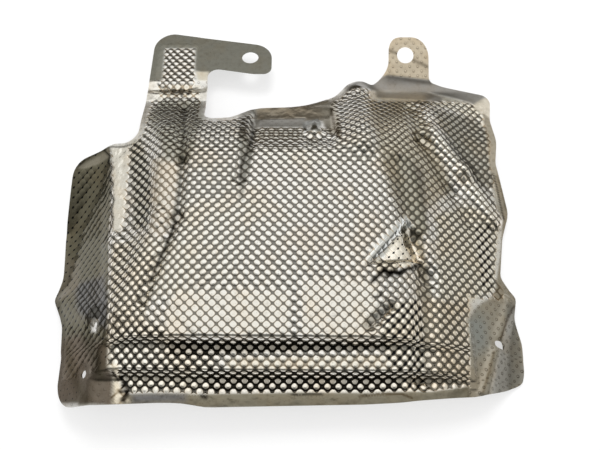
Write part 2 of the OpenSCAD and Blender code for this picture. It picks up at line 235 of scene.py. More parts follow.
def hole(u, v, r, length=0.0, points=28):
    """A hole or slot square to the pressed sheet, brought back on to the flat blank."""
    x, y = plan_x(u), plan_y(v)
    n = upright(np.array([x]), np.array([y]))[0]
    ex = np.array([1, 0, 0]) - n[0] * n
    ex /= np.linalg.norm(ex)
    ey = np.cross(n, ex)
    half = max(0, length / 2 - r)
    ring = []
    for k in range(points):
        w = 2 * math.pi * (k + 0.5) / points
        q = (r * math.cos(w) + math.copysign(half, math.cos(w))) * ex + r * math.sin(w) * ey
        ring.append((np.interp(x + q[0], U_PLAN, U_FLAT), np.interp(y + q[1], V_PLAN, V_FLAT)))
    return ring


HOLES = [hole(-ARM_SIDE + 25, ARM_BACK - 20, BOLT_R), hole(TAB_X - 2, TAB_BACK - 10, BOLT_R),
         hole(-WING + 29, -FRONT + 17.5, CLIP_R), hole(RIGHT_R - 14, -55, CLIP_R, CLIP_SLOT)]
LOOPS = [rounded(BLANK)] + HOLES


def to_outline(u, v):
    """Signed distance to the nearest cut edge, inside positive, and the nearest point on it."""
    inside = np.zeros(u.shape, bool)
    best = np.full(u.shape, 1e9)
    bu, bv = u.copy(), v.copy()
    for loop in LOOPS:
        for (au, av), (cu, cv) in zip(loop, loop[1:] + loop[:1]):
            eu, ev = cu - au, cv - av
            if eu * eu + ev * ev < 1e-12:
                continue
            cross = (av > v) != (cv > v)
            if av != cv:
                inside ^= cross & (u < au + (v - av) * eu / ev)
            k = clamp(((u - au) * eu + (v - av) * ev) / (eu * eu + ev * ev))
            fu, fv = au + eu * k, av + ev * k
            d = np.hypot(u - fu, v - fv)
            near = d < best
            best = np.where(near, d, best)
            bu, bv = np.where(near, fu, bu), np.where(near, fv, bv)
    return np.where(inside, best, -best), bu, bv


# parts of the blank that are smooth: u from and to, v from and to
SMOOTH = [
    (-63, 0, 99, 156),       # end of the arm
    (-26, 18, 65, 94),       # recess in the back edge
    (41, 128, 95, 145),      # tab and the edge beside it
    (88, 128, -103, -32),    # right flange
    (-91, -62, 138, 156),    # back edge of the arm
    (-146, -90, -103, -78)]  # front edge of the wing


def zone(u0, u1, v0, v1, u, v, w=3.0):
    """1 well inside a box of the blank, 0 outside it, soft over the width w."""
    return ease(np.minimum(np.minimum(u - u0, u1 - u), np.minimum(v - v0, v1 - v)) / w + 0.5)


def embossing(u, v, gap):
    """How strongly the sheet is embossed, from 0 to 1."""
    e = ease((gap - BORDER) / 2 + 0.3)
    for box in SMOOTH:
        e = e * (1 - zone(*box, u, v))
    return e


def inside_of(x, y, loop, soft):
    """1 well inside a closed line of points, 0 outside it, soft on the edge."""
    inside = np.zeros(x.shape, bool)
    near = np.full(x.shape, 1e9)
    for (ax, ay), (bx, by) in zip(loop, loop[1:] + loop[:1]):
        if ay != by:
            inside ^= ((ay > y) != (by > y)) & (x < ax + (y - ay) * (bx - ax) / (by - ay))
        near = np.minimum(near, away(x, y, ax, ay, bx, by))
    return ease(np.where(inside, near, -near) / soft + 0.5)


def near_line(x, y, line, half):
    """1 on a line of points, 0 at half or more away from it."""
    near = np.full(x.shape, 1e9)
    for (ax, ay), (bx, by) in zip(line, line[1:]):
        near = np.minimum(near, away(x, y, ax, ay, bx, by))
    return ease(1 - near / half)


# Areas of the plan where the finish differs: corners, softness of the edge, what the bare metal's colour is
# multiplied by (stains and tints, and in some areas painted shade or painted highlights), and six numbers.
# These are how deep the grooves are along one diagonal and along the other, how dark they are (tan dirt,
# then grey and black painted shade), how much is left of the bumps (on smooth metal, of their dots), how
# crushed the sheet is, and how black the painted shade is in the slots where two grooves cross. A later
# area goes over an earlier one.
UNTOUCHED = (1, 0.5, 1, 1, 0, 0)
PATCHES = [
    # rows along the other diagonal
    ([(-60, 17), (-19, 19), (-25, -4), (-29, -21), (-37, -39), (-66, -40), (-63, -21),
     (-59, -5)], 8, (1, 1, 0.98), (0.55, 1, 1, 1, 0, 0)),
    # long bumps at the back left
    ([(-63, 67), (-29, 60), (-29, 33), (-31, 15), (-59, 16)], 6, (1, 1, 0.99), (1, 0.9, 1, 1, 0, 0)),
    # long bumps at the back right
    ([(20, 77), (36, 96), (44, 95), (40, 50), (38, 35), (20, 38)], 5, (1, 1, 0.98),
     (1, 0.9, 1.05, 1, 0, 0)),
    # the wing: tan, darkened with painted shade, as are its other areas below
    ([(-105, 55), (-102, 40), (-100, 21), (-99, 3), (-96, -15), (-92, -39), (-89, -58), (-87, -87),
     (-124, -82), (-133, -28), (-132, 27), (-132, 54)], 1.2, (0.17, 0.16, 0.12),
     (0.1, 0.35, 0.5, 0.25, 0.05, 1.2)),
    # its back edge
    ([(-124, 44), (-106, 54), (-104, 49), (-119, 44)], 1.5, (0.3, 0.28, 0.23), (0, 0, 0, 0, 0, 0)),
    # its front corner, crushed flat
    ([(-120, -51), (-107, -52), (-89, -61), (-86, -87), (-121, -83)], 6, (0.17, 0.14, 0.11),
     (0, 0.1, 0.35, 0.3, 0.1, 0.85)),
    # painted shade in the middle of its front half
    ([(-117, -22), (-98, -23), (-92, -38), (-90, -54), (-102, -47), (-110, -40)], 5, (0.15, 0.15, 0.15),
     (0.6, 0.6, 1, 0.5, 0.2, 0)),
    # a painted highlight: a bright spot on the dark wing
    ([(-101, -46), (-97, -47), (-97, -53), (-100, -52)], 2, (1, 1, 1), (0, 0, 0, 0, 0.5, 0)),
    # its outer edge
    ([(-126, -3), (-116, -9), (-114, -23), (-123, -30), (-128, -29)], 4, (0.21, 0.19, 0.15),
     (0.1, 0.3, 0.4, 0.2, 0, 1.05)),
    # bright strip beside the fold
    ([(-104, 54), (-94, 54), (-92, 38), (-92, 23), (-91, 11), (-92, 1), (-97, 1)], 3.5, (1, 0.98, 0.93),
     (0.15, 0.1, 0.5, 0.15, 1.1, 0)),
    # dark rows behind the strip
    ([(-93, 57), (-87, 56), (-81, 41), (-77, 25), (-75, 9), (-77, -1), (-85, 2), (-87, 18),
     (-91, 38)], 3, (0.8, 0.79, 0.74), (1.2, 0.8, 1.4, 1, 0, 1.12)),
    # the rows in front of them
    ([(-95, -7), (-75, -4), (-69, -20), (-71, -40), (-74, -59), (-83, -85),
     (-87, -85)], 3, (1.07, 1.03, 0.95), (1.1, 0.8, 1.25, 1, 0, 0.92)),
    # darker rows at the front left, with more painted shade in the grooves
    ([(-88, -54), (-70, -51), (-40, -62), (-35, -80), (-81, -81), (-87, -68)], 6, (1.12, 1.1, 1.05),
     (1, 0.8, 1.5, 1.1, 0, 1)),
    # rubbed area
    ([(-80, 41), (-64, 39), (-63, 24), (-64, 2), (-69, -8), (-76, -3), (-76, 15)], 3, (0.85, 0.82, 0.77),
     (0.9, 0.4, 0.8, 0.8, 0.3, 0)),
    # grey area in front of the arm
    ([(-86, 72), (-81, 89), (-58, 89), (-53, 70), (-57, 37), (-62, 38), (-71, 38),
     (-75, 51)], 5, (0.5, 0.5, 0.46), (0.8, 0.6, 0.9, 0.9, 0.2, 0)),
    # the plain parts of the arm
    ([(-94, 150), (-83, 143), (-15, 143), (-15, 104), (-56, 109), (-63, 112), (-64, 130), (-82, 130),
     (-81, 104), (-94, 101), (-93, 137)], 3, (0.26, 0.26, 0.23), (0, 0, 0, 0.2, 0.15, 0)),
    # where the arm is bent
    ([(-94, 103), (-84, 104), (-82, 99), (-79, 91), (-81, 88), (-92, 88)], 2, (1, 0.98, 0.94),
     (0.1, 0.1, 0.2, 0.2, 0.6, 0)),
    ([(-61, 99), (-52, 100), (-52, 89), (-56, 89), (-59, 90)], 2, (1, 0.98, 0.94),
     (0.1, 0.1, 0.2, 0.2, 0.6, 0)),
    # the fold between them
    ([(-83, 101), (-59, 101), (-59, 91), (-81, 91)], 2, (0.95, 0.92, 0.85), (0.6, 0.6, 0.6, 0.6, 0.8, 0)),
    # a rubbed edge beside the fold
    ([(-62, 111), (-54, 111), (-54, 104), (-60, 104)], 2, (0.9, 0.86, 0.76), (0, 0, 0, 0, 0.2, 0)),
    # brown strip at the back edge
    ([(-29, 85), (17, 91), (18, 72), (11, 71), (0, 71), (-26, 69)], 2, (0.36, 0.32, 0.26),
     (0, 0, 0, 0.2, 0.9, 0)),
    # fine bumps in front of the recess
    ([(-26, 67), (0, 69), (1, 58), (0, 44), (-16, 44), (-26, 53)], 2, (0.8, 0.8, 0.78),
     (0.8, 0.6, 0.8, 0.6, 0, 0)),
    # front edge of the recess: painted shade over the bright edge of the ledge
    ([(-27, 72), (3, 74), (3, 65), (-26, 64)], 2, (0.42, 0.41, 0.39), (0.6, 0.5, 0.8, 0.5, 0, 0)),
    # grey band on its left
    ([(-34, 81), (-25, 82), (-24, 64), (-24, 44), (-27, 28), (-29, 13), (-31, 13), (-31, 32), (-33, 50),
     (-33, 63)], 3, (0.42, 0.42, 0.4), (0.8, 0.5, 1, 0.5, 0.2, 0)),
    # nub in the recess
    ([(1, 69), (10, 73), (12, 69), (11, 58), (2, 60)], 1.5, (0.38, 0.39, 0.39), (0, 0, 0, 0, 0, 0)),
    # rows that fan out on its right
    ([(12, 86), (21, 91), (22, 70), (22, 52), (15, 60), (12, 71)], 3, (0.42, 0.39, 0.33),
     (0.5, 0.2, 0.7, 0.4, 0, 0)),
    # first rows of the flat panel
    ([(-22, 45), (0, 45), (6, 57), (16, 44), (16, 35), (-16, 34)], 3, (1, 1, 0.98), (1, 0.5, 1, 1, 0, 0)),
    # back right of the dish
    ([(38, 91), (65, 90), (77, 52), (83, 31), (65, 12), (51, 8), (42, 39)], 6, (0.7, 0.67, 0.59),
     (1, 0.6, 0.9, 0.9, 0, 0)),
    # its dull corner
    ([(75, 83), (98, 80), (112, 73), (110, 52), (111, 34), (93, 36), (82, 55)], 5, (0.56, 0.55, 0.51),
     (1.1, 0.85, 1, 0.8, 0, 0)),
    # tan edge beside it
    ([(107, 73), (114, 72), (113, 46), (106, 44)], 4, (0.5, 0.46, 0.39), (0.9, 0.7, 0.8, 0.5, 0, 0)),
    # painted highlight: a bright line along the ridge
    ([(73, 83), (74, 64), (84, 51), (95, 37), (108, 21), (108, 14), (100, 17), (90, 30), (80, 43), (74, 55),
     (71, 65)], 2.5, (1.15, 1.15, 1.12), (0.9, 0.5, 0.9, 1, 0, 0)),
    # bright rows along the back
    ([(45, 100), (71, 100), (94, 93), (111, 82), (110, 76), (99, 81), (75, 87),
     (44, 92)], 2.5, (1, 0.98, 0.91), (1, 0.6, 1, 1, 0, 0)),
    # bend in front of the tab, darkened with painted shade
    ([(45, 103), (74, 101), (84, 95), (82, 89), (73, 92), (45, 95)], 2, (0.5, 0.48, 0.45),
     (0, 0, 0, 0, 0.2, 0)),
    # rubbed corner
    ([(102, 96), (114, 96), (111, 72), (104, 75), (107, 82), (102, 88)], 2, (0.9, 0.85, 0.76),
     (0, 0, 0, 0.1, 0.4, 0)),
    # smooth edge at the root of the tab
    ([(26, 97), (33, 106), (50, 111), (78, 108), (116, 101), (102, 91), (77, 100),
     (48, 102)], 2, (0.36, 0.35, 0.34), (0, 0, 0, 0, 0.12, 0)),
    # the tab
    ([(50, 111), (52, 137), (79, 136), (79, 108)], 1, (0.93, 0.82, 0.66), (0, 0, 0, 1, 0.15, 0)),
    # start of the valley on the right
    ([(52, 46), (66, 36), (65, -2), (55, -1), (50, 22)], 4, (0.45, 0.43, 0.39), (0.9, 0.6, 0.9, 0.7, 0, 0)),
    # valley on the right
    ([(55, 35), (61, 23), (63, -10), (65, -31), (60, -77), (54, -77), (56, -48), (57, -17), (53, 3),
     (51, 23)], 3, (0.66, 0.63, 0.56), (0.9, 0.8, 1.05, 0.6, 0, 0)),
    # its dim end
    ([(51, 42), (58, 43), (63, 29), (65, 0), (59, -3), (52, 22)], 4, (0.48, 0.47, 0.41),
     (0.9, 0.8, 1.05, 0.7, 0, 0)),
    # right side
    ([(71, 11), (92, 22), (108, 13), (100, -26), (85, -34), (69, -36)], 4, (1.08, 1.05, 0.96),
     (1.1, 0.9, 1.25, 1, 0, 0)),
    # black slots near the edge
    ([(93, 10), (103, 12), (99, -26), (92, -27)], 3, (1.08, 1.05, 0.97), (0.9, 0.9, 1.3, 1, 0, 1.5)),
    # the dent
    ([(31, -20), (38, -10), (50, 3), (55, 9), (58, 4), (48, -8), (42, -16)], 2, (0.98, 1.01, 1.03),
     (0.3, 0.2, 0.3, 0.35, 0.2, 0)),
    # its smooth face: cream, brightened as a painted highlight
    ([(45, -8), (55, 2), (62, -16), (51, -22), (41, -19)], 2, (1.17, 1.13, 1.05),
     (0.3, 0.2, 0.3, 0.15, 0.15, 1.15)),
    # painted shade under it
    ([(38, -17), (48, -19), (47, -25), (37, -26)], 2, (0.95, 0.9, 0.8), (0.8, 0.8, 1.4, 1, 0.2, 0)),
    # front right
    ([(40, -48), (44, -41), (59, -37), (59, -80), (46, -80), (37, -76), (40, -63),
     (38, -54)], 3, (1.08, 1.05, 0.98), (0.9, 1, 1.1, 1.1, 0, 1.75)),
    # tan rows beside it
    ([(63, -36), (85, -34), (81, -76), (60, -80)], 4, (1.05, 0.98, 0.87), (1.1, 1, 1.25, 0.9, 0, 0.88)),
    # the right flange: grey-brown, darkened with painted shade
    ([(104, -19), (121, -23), (112, -83), (78, -84), (80, -76), (84, -43), (89, -36),
     (99, -29)], 1.5, (0.47, 0.44, 0.38), (0, 0, 0, 1.4, 0.12, 0)),
    # bluish area
    ([(82, -45), (88, -38), (93, -40), (92, -56), (85, -62)], 8, (0.41, 0.43, 0.42),
     (0, 0, 0, 1.4, 0.05, 0)),
    # darker outer half
    ([(106, -30), (111, -35), (113, -70), (90, -83), (98, -58), (103, -47)], 3, (0.32, 0.31, 0.28),
     (0, 0, 0, 1.4, 0.12, 0)),
    # the back step: its face darkened, and black painted shade in its grooves
    ([(-61, -59), (40, -58), (41, -61), (-61, -65)], 2, (0.74, 0.72, 0.68), (0.9, 0.9, 2.2, 1.2, 0, 0)),
    # its left end, with less painted shade
    ([(-73, -59), (-61, -58), (-61, -65), (-73, -66)], 4, (1.1, 1.07, 1.01), (0.9, 0.9, 1.5, 1.2, 0, 0)),
    # shelf between the steps
    ([(-35, -66), (39, -64), (45, -71), (-34, -72)], 2, (0.95, 0.93, 0.87), (0.7, 0.7, 0.8, 0.8, 0, 0)),
    # front step: black painted shade in the grooves of its face
    ([(-43, -72), (43, -72), (49, -80), (-43, -80)], 2.5, (1, 0.97, 0.92), (0.8, 0.8, 2.2, 1.2, 0, 0)),
    # its left end, with less painted shade
    ([(-80, -73), (-43, -72), (-43, -80), (-78, -81)], 4, (1.1, 1.07, 0.99), (0.8, 0.8, 1.6, 1.2, 0, 0)),
    # front edge
    ([(-79, -82), (-47, -81), (0, -80), (61, -80), (80, -77), (79, -86), (-87, -88)], 1.5,
     (0.25, 0.23, 0.18), (0, 0, 0, 0, 0.9, 0)),
    # bluish area
    ([(-77, -82), (-53, -81), (-53, -85), (-77, -86)], 5, (0.19, 0.19, 0.2), (0, 0, 0, 0, 0.9, 0)),
    # front left corner
    ([(-87, -69), (-84, -70), (-84, -77), (-78, -86), (-86, -87)], 2, (0.95, 0.88, 0.75),
     (0.1, 0.1, 0.1, 0.1, 1, 0)),
    # the two pads
    ([(-62, -36), (-5, -36), (-5, -59), (-62, -59)], 4, (0.9, 0.89, 0.86), (0.62, 0.46, 0.95, 0.4, 0.9, 0)),
    ([(1, -30), (37, -30), (37, -59), (1, -59)], 4, (0.9, 0.89, 0.86), (0.62, 0.46, 0.95, 0.4, 0.9, 0)),
    # bright rows on the left
    ([(-87, -2), (-64, -8), (-49, -15), (-49, -35), (-71, -40), (-70, -20)], 6, (0.97, 0.96, 0.92),
     (0.7, 0.9, 0.9, 0.9, 0.1, 0.85)),
    # rolled edge on the right
    ([(108, 44), (111, 40), (113, 25), (113, 16), (108, 21), (107, 34)], 1.2, (0.55, 0.53, 0.48),
     (0, 0, 0, 0, 0.1, 0)),
    # front corner of the wing
    ([(-104, -70), (-87, -72), (-86, -87), (-103, -86)], 3, (0.2, 0.17, 0.14), (0, 0, 0, 0.4, 0.3, 0)),
    # right edge
    ([(107, 85), (112, 78), (112, 49), (116, 20), (112, -1), (104, -31), (99, -31), (107, -2), (111, 18),
     (106, 49), (106, 72)], 1.5, (0.46, 0.42, 0.35), (0.8, 0.6, 0.8, 0.5, 0.1, 0)),
]

# narrow dark lines and bands in plan, most of them painted shade in folds, creases and along edges: points,
# half width, what the colour is multiplied by
LINES = [
    # painted shade along the ragged fold of the wing
    ([(-108.5, 53.8), (-104.4, 49.3), (-105.4, 46.1), (-102.2, 41.3), (-103.6, 37), (-100.2, 30.8),
     (-101.6, 26.5), (-98.3, 20.6), (-99.4, 15.1), (-97.4, 8.7), (-98.3, 2)], 1.1, (0.07, 0.065, 0.055)),
    # painted shade in the crumpled folds across the arm
    ([(-83.5, 101.5), (-80.5, 99.2), (-78.8, 100.4), (-75.1, 97.7), (-71.4, 91.9), (-71, 97.7),
     (-68.4, 91.1), (-68, 97.6), (-65.1, 92.7), (-64, 98.5), (-60.5, 99.3)], 0.9, (0.04, 0.035, 0.03)),
    ([(-82.1, 97.7), (-77.8, 92.7), (-75.1, 94.3), (-72.4, 90.4)], 0.7, (0.2, 0.18, 0.15)),
    ([(-74.7, 99.9), (-71.2, 95.4), (-69.9, 99.3)], 0.8, (0.08, 0.07, 0.06)),
    # painted shade in the undercut under the dent
    ([(34.7, -29.9), (37.7, -27.2), (40.8, -23.9), (42.6, -27), (44.8, -24.2), (47.7, -25.5), (50.9, -23.1),
     (55.1, -21.5), (59.3, -17.9)], 2.0, (0.03, 0.027, 0.022)),
    ([(40.8, -23.9), (44.7, -25.3), (49.8, -24.3)], 2.4, (0.05, 0.045, 0.04)),
    ([(59.5, -15.1), (60.4, -18.7)], 1.2, (0.04, 0.035, 0.03)),
    ([(34.8, -38), (38.2, -37.4), (39.3, -35.4)], 1.0, (0.04, 0.035, 0.03)),
    # painted shade along the crease beside the right pad
    ([(44, -40.6), (39.9, -45.2), (35.9, -49.2), (32.5, -51.7)], 0.8, (0.12, 0.10, 0.08)),
    ([(43.4, -43), (39.7, -47.8), (37.5, -52.2)], 0.9, (0.45, 0.36, 0.25)),
    # painted shade along the left and right edges of the recess
    ([(-26.7, 68.4), (-25.7, 60.5), (-26.2, 50.6), (-27.9, 43), (-30.7, 34.1),
     (-30.9, 25.7)], 1.6, (0.22, 0.21, 0.19)),
    ([(17.7, 82.2), (18.5, 71.9), (19, 60.5), (21.3, 51.6)], 1.2, (0.35, 0.30, 0.24)),
    # painted shade in the creased front left corner
    ([(-86.3, -72.8), (-84.5, -75.6), (-83, -74.5), (-81.9, -78.4), (-83, -81.1), (-79.8, -80.7),
     (-81.7, -84.8)], 1.4, (0.05, 0.045, 0.04)),
    ([(-86.4, -83.9), (-84, -80.2), (-81, -82.9), (-82.9, -86.1)], 0.9, (0.3, 0.24, 0.16)),
    ([(-81.2, -77), (-79.3, -81.6), (-80.7, -85.2)], 1.8, (0.06, 0.05, 0.04)),
    # darker bands across the front corner of the wing
    ([(-103.2, -54.4), (-97.2, -62.5), (-92.5, -73.4)], 5, (0.62, 0.64, 0.58)),
    ([(-115.7, -55), (-109.5, -69.5), (-99.8, -84.3)], 5, (0.62, 0.60, 0.50)),
    # bands across the tab
    ([(53.3, 124.7), (58.7, 122.5)], 1.8, (0.52, 0.51, 0.50)),
    ([(67.7, 119.1), (77.2, 115.2)], 1.8, (0.50, 0.49, 0.48)),
    # painted shade at the bend where the tab rises
    ([(52.6, 110.2), (77.7, 106.3)], 2.2, (0.6, 0.59, 0.57)),
    # painted shade along the left valley
    ([(-66.9, 86.2), (-63.1, 60), (-62.4, 39.6), (-62.2, 20.6), (-62.9, 6.8), (-64.2, -5.2), (-67, -13.3),
     (-69.4, -19.8)], 2.0, (0.42, 0.42, 0.40)),
    ([(-62.5, 2.7), (-64.7, -5.7), (-66.6, -12.3), (-68.6, -17.6), (-72.3, -30.3)], 1.3,
     (0.15, 0.14, 0.13)),
    # painted shade in a wrinkle at the back right
    ([(65.4, 90.9), (67.2, 87.4), (69.7, 92.1), (70.4, 86), (74.2, 90.9), (75.6, 88.6)], 0.8,
     (0.05, 0.045, 0.04)),
    # painted shade along the rolled edge on the right
    ([(107.6, 43.2), (109.2, 35), (110.1, 26.4), (111.4, 16.7)], 0.8, (0.08, 0.075, 0.065)),
    ([(109.7, 42), (111.8, 32.8), (113.2, 22.6)], 1.2, (0.5, 0.49, 0.45)),
    # front edge
    ([(-45.6, -82.1), (-43.8, -82.5)], 1.8, (0.05, 0.045, 0.04)),
    ([(-3.7, -80.9), (0, -81.3), (2.8, -80.8), (10.3, -80.8)], 0.9, (0.1, 0.09, 0.08)),
    ([(28.1, -81.6), (37.5, -80.8), (47.6, -81.1), (52, -83.1)], 0.9, (0.35, 0.28, 0.2)),
    # back edge of the wing
    ([(-123.5, 43.1), (-119.4, 48), (-110.8, 53.5), (-106.2, 55.1), (-97.9, 53.8),
     (-91.3, 54.1)], 0.7, (0.15, 0.14, 0.12)),
    # painted shade along the crease in the right flange
    ([(110, -33.1), (105.4, -40.3), (101.3, -48.3), (99.2, -52.5)], 1.0, (0.35, 0.3, 0.24)),
    ([(94.7, -59.4), (90.6, -69.7), (86.2, -79.6)], 1.2, (0.55, 0.5, 0.42)),
]


def press():
    """Cuts the blank from a fine grid that lies along the grooves, then presses it."""
    bpy.ops.object.select_all(action="DESELECT")
    bpy.ops.mesh.primitive_grid_add(x_subdivisions=GRID, y_subdivisions=GRID, size=GRID * STEP,
                                    location=(0, 0, 0))
    o = bpy.context.object
    o.name = "shield_sheet"
    me = o.data
    me.name = "shield_sheet"
    co = np.empty(len(me.vertices) * 3)
    me.vertices.foreach_get("co", co)
    co = co.reshape(-1, 3)
    side = int(round(math.sqrt(len(co))))

    # a corner near the cut edge is moved on to it: 1 is inside, 2 on the edge, 0 cut away
    ip = np.rint(co[:, 0] / STEP).astype(int)
    iq = np.rint(co[:, 1] / STEP).astype(int)
    p, q = ip * STEP, iq * STEP
    u, v = (p - q) / math.sqrt(2), (p + q) / math.sqrt(2)
    gap, near_u, near_v = to_outline(u, v)
    at = np.full((side + 2, side + 2), -2 * STEP)
    at[ip - ip.min() + 1, iq - iq.min() + 1] = gap
    deep = at >= STEP / 2
    beside = deep[2:, 1:-1] | deep[:-2, 1:-1] | deep[1:-1, 2:] | deep[1:-1, :-2]
    inner = at[1:-1, 1:-1]
    kept = (inner >= 0) | ((inner > -STEP / 2) & beside)
    kind = np.where(inner >= STEP / 2, 1, np.where(kept, 2, 0))
    state = kind[ip - ip.min(), iq - iq.min()]
    u = np.where(state == 2, near_u, u)
    v = np.where(state == 2, near_v, v)
    gap = np.where(state == 2, 0, gap)

    # the finish, then the pressed form with its bumps
    x, y = plan_x(u), plan_y(v)
    p, q = (u + v) / math.sqrt(2), (v - u) / math.sqrt(2)
    e = embossing(u, v, gap)
    stains_and_painted_light, cuts = np.ones((len(x), 3)), np.ones((len(x), 6)) * UNTOUCHED
    for loop, soft, tint, cut in PATCHES:
        k = inside_of(x, y, loop, soft)[:, None]
        stains_and_painted_light += k * (np.array(tint) - stains_and_painted_light)
        cuts += k * (np.array(cut) - cuts)
    for line, half, tint in LINES:
        stains_and_painted_light *= 1 + near_line(x, y, line, half)[:, None] * (np.array(tint) - 1)
    dome = np.cos(np.pi * p / CELL) ** 2 * np.cos(np.pi * q / CELL) ** 2
    lift = BUMP_H * e * np.minimum(cuts[:, 3], 1) * (dome - BUMP_SUNK)
    pts = np.stack([x, y, form(x, y)], -1) + upright(x, y) * lift[:, None]
    pts = (pts + np.array(SHIFT)) * MM
    me.vertices.foreach_set("co", pts.ravel())
    for name, val in (("emboss", e), ("left", cuts[:, 3]), ("crushed", cuts[:, 4]), ("slots", cuts[:, 5])):
        a = me.attributes.new(name, "FLOAT", "POINT")
        a.data.foreach_set("value", val.astype(np.float32))
    for name, val in (("blank", np.stack([u, v, 0 * u], -1)), ("stains_and_painted_light", stains_and_painted_light),
                      ("grooves", cuts[:, :3] * e[:, None])):
        a = me.attributes.new(name, "FLOAT_VECTOR", "POINT")
        a.data.foreach_set("vector", val.astype(np.float32).ravel())

    # what lies outside the cut edge goes, and half a square stays where the edge crosses it
    bm = bmesh.new()
    bm.from_mesh(me)
    bm.verts.ensure_lookup_table()
    halves, waste = [], []
    for f in bm.faces:
        s = [state[w.index] for w in f.verts]
        on = [w for w, k in zip(f.verts, s) if k]
        if len(on) == 3 and any(state[w.index] == 1 for w in on):
            halves.append(on)
        if len(on) < 4 or 1 not in s:
            waste.append(f)
    bmesh.ops.delete(bm, geom=waste, context="FACES_ONLY")
    for on in halves:
        bm.faces.new(on)
    bmesh.ops.delete(bm, geom=[k for k in bm.edges if not k.link_faces], context="EDGES")
    bmesh.ops.delete(bm, geom=[w for w in bm.verts if not w.link_faces], context="VERTS")
    bm.normal_update()
    for f in bm.faces:
        f.smooth = True
    bm.to_mesh(me)
    bm.free()
    return o


shield = press()

# the sheet gets its thickness, and the underside is thinned out
bpy.ops.object.select_all(action="DESELECT")
shield.select_set(True)
bpy.context.view_layer.objects.active = shield
shield.vertex_groups.new(name="under")
solid = shield.modifiers.new("thickness", "SOLIDIFY")
solid.thickness = SHEET_T * MM
solid.offset = -1
solid.shell_vertex_group = "under"
bpy.ops.object.modifier_apply(modifier="thickness")
UNDERSIDE_KEPT, CREASE_ANGLE = 0.72, 55
thin = shield.modifiers.new("coarser underside", "DECIMATE")
thin.vertex_group = "under"
thin.ratio = UNDERSIDE_KEPT
bpy.ops.object.modifier_apply(modifier="coarser underside")
bpy.ops.object.shade_smooth_by_angle(angle=math.radians(CREASE_ANGLE))
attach(shield, "root")
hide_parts("heat_shield")


class Nodes:
    """Makes and joins the shader nodes of one finish."""

    def __init__(self, tree):
        self.tree = tree
        tree.nodes.clear()

    def new(self, kind, **fields):
        node = self.tree.nodes.new(kind)
        for name, val in fields.items():
            setattr(node, name, val)
        return node

    def put(self, node, key, val):
        socket = node.inputs[key]
        if isinstance(val, bpy.types.NodeSocket):
            self.tree.links.new(val, socket)
        else:
            socket.default_value = val

    def math(self, op, a, b=0.0, held=False):
        """One step of arithmetic, its result held between 0 and 1 where that is asked."""
        node = self.new("ShaderNodeMath", operation=op, use_clamp=held)
        self.put(node, 0, a)
        self.put(node, 1, b)
        return node.outputs[0]

    def times(self, a, b):
        return self.math("MULTIPLY", a, b)

    def ramp(self, val, low, high, start=0.0, end=1.0):
        """Goes softly from start to end as the value goes from low to high."""
        node = self.new("ShaderNodeMapRange", interpolation_type="SMOOTHSTEP")
        for k, number in enumerate((val, low, high, start, end)):
            self.put(node, k, number)
        return node.outputs[0]

    def mix(self, fac, a, b, how="MIX"):
        """From colour a to colour b, or to a times b with MULTIPLY, as fac goes from 0 to 1."""
        node = self.new("ShaderNodeMix", data_type="RGBA", blend_type=how)
        self.put(node, 0, fac)
        self.put(node, 6, a)
        self.put(node, 7, b)
        return node.outputs[2]

    def noise(self, where, scale, detail, rough):
        node = self.new("ShaderNodeTexNoise")
        self.put(node, "Vector", where)
        self.put(node, "Scale", scale)
        self.put(node, "Detail", detail)
        self.put(node, "Roughness", rough)
        return node.outputs[0]

    def attribute(self, name, out="Vector"):
        return self.new("ShaderNodeAttribute", attribute_name=name).outputs[out]


# the finish of the sheet: bright metal with tan dirt and grey and black painted shade in the grooves,
# stains, and painted shade and painted highlights in some areas
BARE_METAL = (0.82, 0.81, 0.78, 1)
TAN_DIRT = (0.62, 0.53, 0.42, 1)
GREY_GROOVE_SHADE = (0.195, 0.19, 0.174, 1)
BLACK_GROOVE_SHADE = (0.015, 0.014, 0.012, 1)
GRAIN_TINT = (0.62, 0.56, 0.48, 1)
HEAT_TINT = (0.99, 0.87, 0.72, 1)
SPECK_TINT = (0.35, 0.30, 0.25, 1)
RING_SHADE_TINT = (0.45, 0.42, 0.38, 1)
SLOT_SHADE_BLACK = (0.008, 0.008, 0.009, 1)
POLISH, DULLER = 0.14, 0.2      # roughness of the bumps, and what smooth metal has more
WAVE = math.pi / math.sqrt(2) / CELL
GROOVE_FLOOR = 0.03             # keeps the power of a groove above 0

metal = bpy.data.materials.new("embossed_aluminium")
metal.use_nodes = True
N = Nodes(metal.node_tree)
on_blank = N.attribute("blank")
blank = N.new("ShaderNodeSeparateXYZ")
N.put(blank, 0, on_blank)
bu, bv = blank.outputs[0], blank.outputs[1]
grooves = N.new("ShaderNodeSeparateXYZ")
N.put(grooves, 0, N.attribute("grooves"))
emboss = N.attribute("emboss", "Fac")
bumps_left = N.attribute("left", "Fac")

# height across one diagonal and across the other: 1 on the line of the bumps, 0 in the groove
ca = N.math("ABSOLUTE", N.math("COSINE", N.times(N.math("ADD", bu, bv), WAVE)))
cb = N.math("ABSOLUTE", N.math("COSINE", N.times(N.math("SUBTRACT", bv, bu), WAVE)))
ca = N.math("MAXIMUM", ca, GROOVE_FLOOR)
cb = N.math("MAXIMUM", cb, GROOVE_FLOOR)

# one bead of the embossing: 1 on its top, 0 in the grooves, which are wider the higher the power
bead = N.math("MULTIPLY", N.math("POWER", ca, grooves.outputs[0]), N.math("POWER", cb, grooves.outputs[1]),
              held=True)
